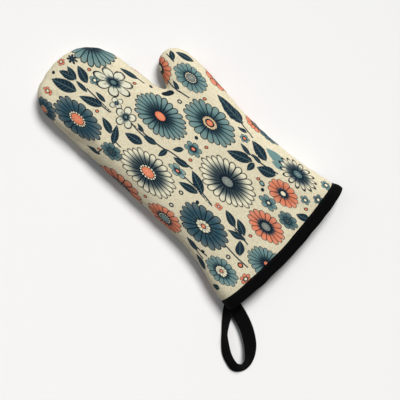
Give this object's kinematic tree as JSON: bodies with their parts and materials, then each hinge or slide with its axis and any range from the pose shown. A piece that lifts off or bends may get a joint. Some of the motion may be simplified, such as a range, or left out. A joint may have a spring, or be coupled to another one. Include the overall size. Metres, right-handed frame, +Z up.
{
  "type": "oven mitt",
  "caption": "Padded cotton oven mitt with a thumb, a black bound cuff and a hanging loop of black tape at the cuff's corner, printed with daisies and leaves.",
  "frame": {"origin": "on the surface the palm rests on, under the middle of the palm, 159.5 mm above the lowest point of the cuff edge and 159 mm below the fingertips", "axes": "+X to the thumb side, +Y to the fingertips, +Z up out of the back of the hand"},
  "size_m": [0.2164, 0.3668, 0.028],
  "materials": {
    "printed_cloth": "plain weave cotton canvas, sand ground with a stretched print of teal, navy, cream and coral daisies and navy leaves",
    "wadding": "off-white needled cotton wadding, matt and fuzzy",
    "lining": "unbleached plain cotton, diamond quilted to the wadding",
    "seam_thread": "sand polyester sewing thread",
    "black_tape": "black folded cotton bias tape, matt with a fine weave",
    "black_thread": "black polyester sewing thread with a slight sheen"
  },
  "bodies": {
    "mitt": {"back_panel": "printed_cloth", "palm_panel": "printed_cloth", "back_wadding": "wadding", "palm_wadding": "wadding", "back_lining": "lining", "palm_lining": "lining", "seam_thread": "seam_thread", "cuff_binding": "black_tape", "binding_stitch": "black_thread", "loop_tails": "black_tape", "bar_tack": "black_thread"},
    "thumb": {"thumb_back_panel": "printed_cloth", "thumb_palm_panel": "printed_cloth", "thumb_back_wadding": "wadding", "thumb_palm_wadding": "wadding", "thumb_back_lining": "lining", "thumb_palm_lining": "lining", "thumb_seam_thread": "seam_thread"},
    "loop": {"hanging_loop": "black_tape"}
  },
  "joints": [
    {"name": "thumb_swing", "type": "hinge", "parent": "mitt", "child": "thumb", "pos_m": [0.0645, 0.0448, 0.012], "axis": [0, 0, 1], "range_deg": [-10, 14], "stiffness_Nm_per_rad": 0.05},
    {"name": "loop_swing", "type": "hinge", "parent": "mitt", "child": "loop", "pos_m": [-0.08496, -0.15814, 0.003], "axis": [-0.7547, 0.6561, 0], "range_deg": [-80, 90]}
  ]
}
